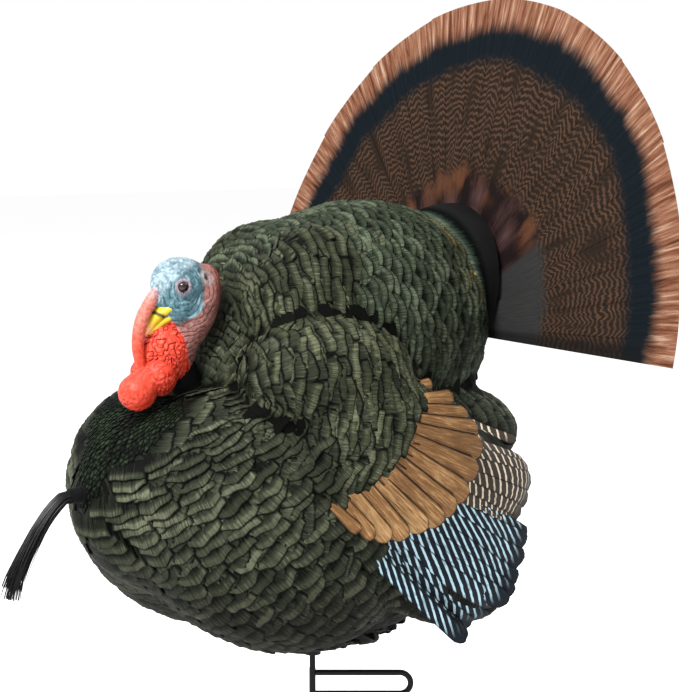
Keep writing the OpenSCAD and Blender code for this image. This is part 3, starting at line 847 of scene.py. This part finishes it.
# Curves on the wing, as (y, z): where the bronze coverts start and end, and the edges of the quills
COPPER_ROOTS = [(-99, 249), (-66, 263), (-34, 286), (-8, 312), (10, 333), (21, 353)]
COPPER_TIPS = [(-74, 219), (-42, 208), (-6, 211), (30, 227), (59, 257), (73, 289), (65, 320), (44, 345)]
SECONDARY_ROOTS = [(84, 315), (78, 299), (72, 283), (64, 269), (56, 257), (44, 245)]
SECONDARY_TIPS = [(154, 283), (165, 267), (171, 251), (169, 235), (162, 219), (138, 202)]
PRIMARY_ROOTS = [(-78, 215), (-46, 207), (-8, 209), (26, 221), (54, 239)]
PRIMARY_TIPS = [(62, 95), (90, 101), (112, 115), (130, 135), (144, 159), (156, 181)]
WING = COPPER_ROOTS + [(82, 315)] + SECONDARY_TIPS + PRIMARY_TIPS[::-1] + [(-70, 209)]


def lay_quills(name, seeds, material, **shape):
    """Painted wing feathers on both sides, without the painted shade on the roots, creases and underside that
    the body's feathers get.
    """
    lay_feathers(name, seeds, material, root_shade=0.0, shade=0.0, mirrored=True, **shape)


def copper_coverts(material):
    """One crescent of long bronze feathers on each wing."""
    feathers = quills(COPPER_ROOTS, COPPER_TIPS, 14, 1.5, raised=5.0)
    feathers.paint = paint_of(feathers, (1, 1, 1), 0.12)
    lay_quills("copper_coverts", feathers, material, rows=(0, 0.2, 0.4, 0.6, 0.78, 0.9, 0.97, 1.0), cols=11,
                 lift=3.6, crown=1.6, tip=0.16, wave=0.4, lean=2.2, narrow=0.8, point=3.0, drop=3,
                 thick=12)


def secondaries(material):
    """Barred brown strips behind the bronze crescent."""
    feathers = quills(SECONDARY_ROOTS, SECONDARY_TIPS, 8, 1.6, raised=1.0, tips_at_least=150)
    lay_quills("secondaries", feathers, material, rows=(0, 0.2, 0.4, 0.6, 0.78, 0.9, 0.97, 1.0), cols=7,
               lift=2.6,
                 crown=0.8, tip=0.05, wave=0.3, lean=1.5, narrow=0.85, drop=2, border=3.0, thick=16)


def primaries(material):
    """Ten dark quills with pale slanted bars that fan out under the wing."""
    feathers = quills(PRIMARY_ROOTS, PRIMARY_TIPS, 11, 1.7, raised=1.0, tips_at_least=148)
    lay_quills("primaries", feathers, material, rows=(0, 0.15, 0.3, 0.45, 0.6, 0.75, 0.88, 0.96, 1.0), cols=7,
                 lift=2.8, crown=0.8, tip=0.05, wave=0.4, lean=1.7, narrow=0.85, drop=2, border=3.4,
                 thick=16)


def rear_ring(skin, black):
    """Ribbed rim round the rear of the back, darkening towards the fan with painted shade, and the black
    collar that closes the gap to the fan; the collar's black also stands in for the shade of the recess
    there.
    """
    centre = np.array([0, 0, 425.0])
    turn = np.radians(np.linspace(-31, 211, 361))
    out = np.stack([np.cos(turn), 0 * turn, np.sin(turn)], -1)
    # Radius of the body just inside its rear face, found along each spoke
    radii = np.linspace(40, 130, 181)
    spokes = centre + out[:, None] * radii[None, :, None]
    spokes[..., 1] = 142 - (spokes[..., 2] - 437) * 0.203
    within = np.linalg.norm(spokes - BODY.eye, axis=-1) < BODY.reach(unit(spokes - BODY.eye))
    edge = np.array([radii[np.nonzero(row)[0].max()] if row.any() else 60 for row in within])
    edge = np.convolve(np.pad(edge, 12, mode="edge"), np.ones(25) / 25, "valid")

    def band(name, shares, ribs, slot, material, paint):
        walls = []
        for depth, order in ((0.0, shares), (2.8, shares[::-1])):
            for s in order:
                bead = 3.2 * math.exp(-((s - 0.16) / 0.13) ** 2)
                radius = edge + (96 - edge) * smooth(0.15, 0.85, s) + bead - depth
                if depth == 0:
                    radius = radius + ribs * np.where(np.arange(len(turn)) % 2, 1.0, -1.0)
                p = centre + out * radius[:, None]
                front = 142 - (p[:, 2] - 437) * 0.203
                rear = FAN_HUB[1] + (p[:, 2] - FAN_HUB[2]) * math.tan(FAN_LEAN) - 6.6
                p[:, 1] = front + s * (rear - front)
                walls.append(p)
        n, m = len(turn), len(walls)
        points = np.stack(walls, 1).reshape(-1, 3)
        i, j = (k.ravel() for k in np.meshgrid(np.arange(n - 1), np.arange(m), indexing="ij"))
        k = (j + 1) % m
        quads = np.stack([i * m + j, (i + 1) * m + j, (i + 1) * m + k, i * m + k], -1)
        caps = np.stack([np.arange(m), (np.arange(m) + (n - 1) * m)[::-1]])
        share = np.tile(np.concatenate([shares, shares[::-1]]), n)
        leaf = np.stack([points[:, 1], np.repeat(np.degrees(turn) * 1.6, m), 0 * share + 0.5], -1)
        # rim darkens the band towards the collar: painted shade of the recess in front of the fan.
        return make_piece(name, points, [quads, caps], "body", slot, material, leaf=leaf,
                          rim=smooth(0.2, 0.5, share), paint=np.tile(paint, (len(points), 1)))

    band("rear_rim", np.linspace(0, 0.56, 12), 0.28, "body_skin", skin, (0.9, 1.15, 1.25))
    collar = band("rear_collar_skin", np.linspace(0.5, 1.0, 8), 0.0, "black_plastic", black, (1.0, 1.0, 1.0))
    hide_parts("rear_collar")


# ---- Head ----
def head_zones(p):
    """Shares of the head's paint zones at points p, from the side view: crown, face, nape and red throat."""
    y, z = p[:, 1], p[:, 2]
    crown_line = np.interp(y, [-192, -189, -186, -179, -167, -157, -148, -138],
                           [427, 431, 440, 454, 464, 468, 472, 476])
    crown = smooth(-2, 3, z - crown_line)
    red_line = np.interp(z, [354, 380, 398, 413, 422], [-150, -164, -167, -174, -186])
    brow = np.interp(y, [-210, -190, -175], [440, 428, 415])
    red = smooth(-2.5, 2.5, red_line - y) * (1 - smooth(-2, 3, z - brow))
    nape_line = np.interp(z, [414, 419, 426, 436, 451, 464, 474], [-170, -158, -149, -147, -146, -143, -143])
    nape = np.maximum(smooth(-2.5, 2.5, y - nape_line), smooth(416, 410, z)) * (1 - red)
    crown = crown * (1 - nape) * (1 - red)
    return crown, (1 - crown) * (1 - nape) * (1 - red), nape, red


def blended(base, tone, share):
    """Base colours moved towards a tone, by one share for each point."""
    return base + (np.array(tone) - base) * share[:, None]


def head_piece(material):
    """Moulded and painted head: wrinkles run round the eye, and the throat is covered with caruncles."""
    directions, quads = cube_sphere(126)
    radius = HEAD.reach(directions)
    points = HEAD.eye + directions * radius[:, None]
    crown, face, nape, red = head_zones(points)
    folded = points * (0, 1, 1) + np.abs(points * (1, 0, 0))
    warp = soft_noise(points / 10.0, 2)
    eye = np.linalg.norm(folded - EYE_AT, axis=1)
    ear = np.linalg.norm(folded - EAR_AT, axis=1)
    # Sharp lines that run round the eye, closer over the crown and rougher over the nape
    rough = 0.8 * warp + 0.55 * soft_noise(points / 4.5, 8)
    wave = np.abs(np.sin(eye * math.pi / 5.6 + 2.3 * rough + 0.9 * warp))
    line = 1 - smooth(0.0, 0.5, wave)
    ridge = smooth(0.8, 1.0, wave) * smooth(-0.2, 0.5, soft_noise(points / 5.0, 21))
    nape_line = 1 - smooth(0.0, 0.55, np.abs(np.sin(eye * math.pi / 5.6 + 2.6 * rough)))
    crown_line = 1 - smooth(0.0, 0.32, np.abs(soft_noise(points / (5.0, 4.0, 3.0) + warp[:, None], 5)))
    worms = 1 - smooth(0.0, 0.26, np.abs(soft_noise(points / 4.4 + 0.7 * warp[:, None], 14)))
    near, second = cell_distance(points / 5.2, 9)
    pebbles = np.clip(second - near, 0, 0.55) / 0.55
    ball = smooth(26, 20, np.linalg.norm(points - (8, -212, 349), axis=1))
    furrow = np.clip(0.9 * worms + 0.35 * (1 - pebbles), 0, 1)
    height = -1.0 * face * line - 1.1 * nape * nape_line - 0.8 * crown * crown_line
    height += red * (0.9 * pebbles - 1.7 * worms + 0.6 * warp) * (1 - 0.4 * ball)
    lid = np.exp(-((eye - 6.7) / 1.2) ** 2)
    height = height * smooth(6.5, 10.0, eye) + 1.4 * lid - 3.0 * smooth(6.4, 4.2, eye)
    height += -3.0 * smooth(4.4, 2.6, ear) + 0.8 * np.exp(-((ear - 5.0) / 1.1) ** 2)
    points = points + directions * height[:, None]
    # Paint of each zone, from its lines to its raised parts
    mottled = (0.5 + 0.5 * soft_noise(points / 3.2, 12))[:, None]
    behind = smooth(-134, -124, points[:, 1:2])
    white = np.array([0.29, 0.41, 0.45]) * (0.65 + 0.6 * mottled)
    white = blended(white, (0.085, 0.165, 0.205), 0.85 * crown_line)
    blue = np.array([0.075, 0.175, 0.205]) * (0.55 + 0.7 * mottled)
    blue = blue + np.array([0.16, 0.22, 0.23]) * ridge[:, None]
    blue = blended(blue, (0.007, 0.032, 0.045), 0.92 * line)
    pink = np.array([0.26, 0.12, 0.10]) * (1 - behind) + np.array([0.20, 0.040, 0.026]) * behind
    pink = blended(pink * (0.6 + 0.8 * mottled), (0.105, 0.020, 0.020), 0.8 * nape_line)
    scarlet = np.array([0.74, 0.056, 0.022]) * (0.8 + 0.35 * mottled)
    # Painted highlight: the raised tops of the caruncles are lighter.
    scarlet = scarlet + np.array([0.06, 0.05, 0.03]) * (pebbles[:, None] ** 3)
    scarlet = blended(scarlet, (0.36, 0.014, 0.010), 0.75 * furrow * (1 - 0.5 * ball))
    zones = ((crown, white), (face, blue), (nape, pink), (red, scarlet))
    colour = sum(share[:, None] * tone for share, tone in zones)
    # Pale skin round the ear and the eyelid, and painted shade in the hollows of both
    colour = blended(colour, (0.36, 0.33, 0.33), 0.6 * np.exp(-((ear - 6.5) / 2.6) ** 2))
    colour = blended(colour, (0.40, 0.30, 0.36), np.exp(-((eye - 7.0) / 1.1) ** 2))
    colour = colour * (1 - 0.97 * (smooth(6.2, 5.4, eye) + smooth(4.2, 2.8, ear)).clip(0, 1)[:, None])
    piece = make_piece("head_form", points, [quads], "head", "head_skin", material, paint=colour)
    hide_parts("head_skin")
    return piece


def beak_and_snood(horn, fleshy):
    """The horn beak, and the snood that hangs over it."""
    share = np.linspace(0, 1, 30)
    gape = np.interp(share, [0, 0.35, 0.7, 1], [3.0, 2.3, 1.5, 1.0])
    upper = curve_through([(0, -170, 432), (0, -184, 424), (0, -194, 413), (0, -201, 400)], 30)
    points, quads, caps = swept_tube(upper, 6.4 * (1 - share**2.4) ** 0.6 + 0.8, 28, gape)
    lower = curve_through([(0, -171, 423), (0, -184, 415), (0, -192, 406), (0, -197.5, 398)], 30)
    low_points, low_quads, low_caps = swept_tube(lower, 5.0 * (1 - share**2.6) ** 0.6 + 0.7, 28, 1.15 * gape)
    n = len(points)
    points = np.vstack([points, low_points])
    tip = np.repeat(np.concatenate([share, share * 0.9]), 28)[:, None]
    yellow = np.tile([0.52, 0.38, 0.015], (len(tip), 1))
    colour = blended(yellow, (0.85, 0.42, 0.19), smooth(0.6, 0.9, tip[:, 0]))
    # A dark line along the nostril slit: painted shade.
    slit = np.abs((points[:, 1] + 190) * 0.53 + (points[:, 2] - 423) * 0.85)
    slit = smooth(2.6, 0.8, slit) * smooth(0.85, 0.6, tip[:, 0]) * (np.arange(len(points)) < n)
    colour = colour * (1 - 0.93 * slit[:, None])
    make_piece("beak", points, [quads, low_quads + n, caps, low_caps + n], "head", "head_skin", horn,
               paint=colour)
    path = curve_through([(1, -180, 452), (2, -188, 443), (3, -197, 431), (3.5, -204, 419),
                          (3.5, -208, 406), (3, -209, 393),
                          (2.5, -207, 379), (2, -202, 367)], 110)
    t = np.linspace(0, 1, 110)
    width = np.interp(t, [0, 0.15, 0.4, 0.75, 1], [3.5, 6.0, 6.8, 6.2, 5.0])
    width = width + 0.09 * np.sin(t * 95) + 0.3 * soft_noise(path / 6.0, 6)
    points, quads, caps = swept_tube(path, width, 28, 1.05)
    shade = np.repeat(t, 28)[:, None]
    pale, salmon, scarlet = np.array([[0.40, 0.33, 0.35], [0.60, 0.17, 0.12], [0.70, 0.065, 0.028]])
    upper_share, lower_share = smooth(0.05, 0.3, shade), smooth(0.4, 0.8, shade)
    paint = pale * (1 - upper_share) + salmon * (upper_share - lower_share) + scarlet * lower_share
    paint = paint * (0.92 + 0.08 * np.repeat(np.sin(t * 95), 28)[:, None])
    make_piece("snood", points, [quads, caps], "head", "head_skin", fleshy, paint=paint)


def horn_material():
    material, g = new_material("beak_horn", 0.4, 0.3)
    mottle = g.noise(g.place(), 240.0, 4.0)
    paint = g.attribute("paint").outputs["Vector"]
    colour = g.mix(g.times(g.step(0.55, 0.75, mottle), 0.5), paint,
                   g.mix(1.0, paint, (0.55, 0.5, 0.4), "MULTIPLY"))
    g.feed("Base Color", colour)
    g.feed("Normal", g.bump(mottle, 0.0003, 0.4))
    return material


def eye_material():
    """Glossy brown eye with a black pupil on its outer side."""
    material, g = new_material("eye_gloss", 0.06, 0.35)
    g.shader.inputs["Coat Weight"].default_value = 0.25
    g.shader.inputs["Coat Roughness"].default_value = 0.03
    _, y, z = g.split(g.place())
    off = g.math("SQRT", g.plus(g.math("POWER", g.minus(y, EYE_AT[1] * MM), 2.0),
                                g.math("POWER", g.minus(z, EYE_AT[2] * MM), 2.0)))
    flecks = g.noise(g.place(), 900.0, 3.0)
    iris = g.mix(flecks, (0.010, 0.004, 0.002), (0.030, 0.012, 0.005))
    g.feed("Base Color", g.mix(g.step(0.0026, 0.0032, off), (0.002, 0.002, 0.002), iris))
    return material


# ---- Beard ----
def beard(material):
    """Stiff bristles bound in the ferrule, drooping and fraying towards the tip."""
    rng = np.random.default_rng(8)
    line = curve_through([(0, -283, 250), (0, -290, 249.6), (0, -297, 245), (0, -307, 235.5), (0, -318, 222),
                          (0, -329, 205), (0, -338, 190), (0, -346, 174), (0, -351, 157), (0, -353, 147)], 40)
    along = unit(np.gradient(line, axis=0))
    up = unit(np.cross(along, [1.0, 0, 0]))
    points, quads, caps, start = [], [], [], 0
    for _ in range(240):
        angle, r = rng.uniform(0, 2 * np.pi), math.sqrt(rng.uniform(0, 1))
        last = int(40 * rng.uniform(0.78, 1.0))
        t = np.linspace(0, 1, 40)[:last]
        spread = np.interp(t, [0, 0.12, 0.7, 1], [6.2, 7.0, 8.2, 9.6]) * r
        stray = rng.normal(0, 1.0, 2)[None] * (t**2.2)[:, None] * 3.2
        wave = 0.5 * np.sin(t * rng.uniform(5, 12) + rng.uniform(0, 6))
        side = (spread * math.cos(angle) + stray[:, 0] + wave)[:, None] * np.array([1.0, 0, 0])
        rise = (spread * math.sin(angle) * 0.95 + stray[:, 1])[:, None] * up[:last]
        path = (line[:last] + side + rise)[::3]
        thick = np.linspace(0.62, 0.22, len(path)) * rng.uniform(0.8, 1.25)
        p, q, c = swept_tube(path, thick, 5)
        points.append(p)
        quads.append(q + start)
        caps.append(c + start)
        start += len(p)
    piece = make_piece("beard_hairs", np.vstack(points), [np.vstack(quads), np.vstack(caps)], "beard",
                       "bristle", material)
    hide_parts("beard_bristles")
    return piece


# ---- Fan ----
FAN_HUB = np.array([0, 170, 389.0])
FAN_LEAN, FAN_R, RIB_STEP, SIDE_RIBS = math.radians(11.5), 362.0, 18.2, 5
LEVEL, CLOTH, LAP = 1.4, 0.35, 5.6
FAN_UP = np.array([0, math.sin(FAN_LEAN), math.cos(FAN_LEAN)])
FAN_FORWARD = np.array([0, -math.cos(FAN_LEAN), math.sin(FAN_LEAN)])


def on_fan(reach, degrees, forward):
    """Points of the fan from polar coordinates; degrees run from straight up towards the bird's left."""
    a = np.radians(degrees)
    flat = (reach * np.sin(a))[..., None] * np.array([1.0, 0, 0]) + (reach * np.cos(a))[..., None] * FAN_UP
    return FAN_HUB + flat + np.asarray(forward)[..., None] * FAN_FORWARD


def fan_gore(k, material):
    """Printed cloth between two ribs: it laps over both ribs and follows each of them at one edge."""
    nr, na, inner = 46, 21, 14.0
    low = (k - 1) * RIB_STEP if k > 0 else k * RIB_STEP
    share, t = np.meshgrid(np.linspace(0, 1, na), np.linspace(0, 1, nr), indexing="ij")
    reach = inner + (FAN_R - 0.8 * np.sin(np.pi * share) - inner) * t
    lap = np.degrees((LAP - 2.5 * reach / FAN_R) / reach)
    angle = low - lap + (RIB_STEP + 2 * lap) * share
    level = 1.2 - (SIDE_RIBS - k) * LEVEL + 0.1
    relax = 0.30 * np.sin(2 * np.pi * share) * smooth(0, 0.3, t)
    ripple = soft_noise(np.stack([reach / 30, angle / 4, 0 * reach + k], -1), 4)
    ripple = 0.18 * ripple * np.sin(np.pi * share)
    front = on_fan(reach, angle, level + CLOTH + relax + ripple)
    rear = on_fan(reach, angle, level + relax + ripple)
    points = np.concatenate([front.reshape(-1, 3), rear.reshape(-1, 3)])
    half = na * nr
    i, j = (q.ravel() for q in np.meshgrid(np.arange(na - 1), np.arange(nr - 1), indexing="ij"))
    quad = np.stack([i * nr + j, i * nr + j + 1, (i + 1) * nr + j + 1, (i + 1) * nr + j], -1)
    order = [(q, 0) for q in range(na)] + [(na - 1, q) for q in range(1, nr)]
    order += [(q, nr - 1) for q in range(na - 2, -1, -1)] + [(0, q) for q in range(nr - 2, 0, -1)]
    border = np.array([a * nr + b for a, b in order])
    after = np.roll(border, -1)
    wall = np.stack([border, after, after + half, border + half], -1)
    polar = np.stack([reach / FAN_R, angle, 0 * reach + k], -1).reshape(-1, 3)
    side = "l" if k > 0 else "r"
    piece = make_piece(
        f"fan_cloth_{side}{abs(k)}", points, [np.vstack([quad, quad[:, ::-1] + half, wall])], None,
        "fan_cloth",
        material, polar=np.vstack([polar, polar]),
    )
    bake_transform(piece)
    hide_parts(f"gore_{side}{abs(k)}")
    return piece


# ---- Stage ----
def make_stage():
    """Pale floor under the spike, white surroundings and soft lamps."""
    floor_z, size = -0.186, 14.0
    mesh = bpy.data.meshes.new("floor")
    mesh.from_pydata([(-size, -size, floor_z), (size, -size, floor_z), (size, size, floor_z),
                      (-size, size, floor_z)],
                     [], [(0, 1, 2, 3)])
    floor = bpy.data.objects.new("floor", mesh)
    bpy.context.scene.collection.objects.link(floor)
    mesh.materials.append(plain_material("floor_paper", (0.97, 0.97, 0.97), 1.0, grain=60.0, vary=0.0,
                                         specular=0.0))
    world = bpy.data.worlds.new("studio")
    world.use_nodes = True
    world.node_tree.nodes["Background"].inputs["Color"].default_value = (1.0, 1.0, 1.0, 1.0)
    world.node_tree.nodes["Background"].inputs["Strength"].default_value = 1.0
    bpy.context.scene.world = world
    lamps = [("key", (0.7, -2.0, 2.9), 1.0, 190), ("fill", (-2.0, -1.6, 1.4), 1.8, 18),
             ("rear", (0.6, 2.4, 2.0), 1.6, 40)]
    for name, place, size, power in lamps:
        data = bpy.data.lights.new(name, "AREA")
        data.size, data.energy = size, power
        lamp = bpy.data.objects.new(name, data)
        bpy.context.scene.collection.objects.link(lamp)
        lamp.location = place
        lamp.rotation_mode = "QUATERNION"
        lamp.rotation_quaternion = (Vector((0, 0, 0.3)) - Vector(place)).to_track_quat("-Z", "Y")
    bpy.context.scene.view_settings.view_transform = "Standard"


def dress_cad_nodes():
    """Procedural materials for the CAD nodes that stay in view or inside."""
    paint = plain_material("stake_paint", (0.004, 0.004, 0.0045), 0.45, grain=500.0, specular=0.1)
    nylon = plain_material("nylon", (0.62, 0.60, 0.54), 0.45, vary=0.08)
    moulded = plain_material("black_plastic", (0.003, 0.003, 0.0032), 0.6, specular=0.06)
    zinc = plain_material("screw_steel", (0.55, 0.55, 0.56), 0.32, 1.0, 600.0, 0.0001, 0.12)
    glass = plain_material("rib_fibreglass", (0.016, 0.016, 0.017), 0.42, grain=700.0)
    tube = plain_material("tube_steel", (0.30, 0.30, 0.31), 0.4, 1.0, 500.0, 0.0001, 0.12)
    eye = eye_material()
    known = {
        "stake_rod": paint, "step_loop": paint, "stop_collar": paint, "thrust_washer": nylon,
        "lower_bushing": nylon, "top_bushing": nylon, "belly_screws": zinc, "hub_pin": zinc, "hub_nut": zinc,
        "stake_tube": tube, "left_eye": eye, "right_eye": eye,
    }
    for name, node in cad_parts.items():
        material = known.get(name, glass if name.startswith("rib_") else moulded)
        node.data.materials.clear()
        node.data.materials.append(material)
    return moulded


# ---- The whole decoy ----
make_camera()
make_stage()
black_plastic = dress_cad_nodes()
dark_feathers = plumage_material("plumage", (0.0018, 0.0021, 0.0015), (0.030, 0.034, 0.023),
                                 (0.150, 0.158, 0.112))
body_form(dark_feathers)
all_over(dark_feathers)
breast(dark_feathers)
belly(dark_feathers)
shield(dark_feathers)
neck(dark_feathers)
back(dark_feathers)
shoulders(dark_feathers)
lesser_coverts(dark_feathers)
copper_coverts(plumage_material("copper", (0.009, 0.004, 0.002), (0.155, 0.076, 0.029),
                                (0.470, 0.290, 0.130), 0.5, 0.1))
secondaries(barred_material("brown_bars", (0.022, 0.018, 0.014), (0.42, 0.35, 0.27), 9.5, 0.13, 0.5, 0.95))
primaries(barred_material("blue_bars", (0.0032, 0.0055, 0.0090), (0.30, 0.44, 0.50), 15.0, 0.165, 1.78, 0.95))
rear_ring(dark_feathers, black_plastic)
flesh = flesh_material()
head_piece(flesh)
beak_and_snood(horn_material(), flesh)
beard(plain_material("bristle", (0.004, 0.004, 0.0045), 0.4, grain=900.0, specular=0.15))
cloth = fan_material()
for k in [*range(1, SIDE_RIBS + 1), *range(-SIDE_RIBS, 0)]:
    fan_gore(k, cloth)
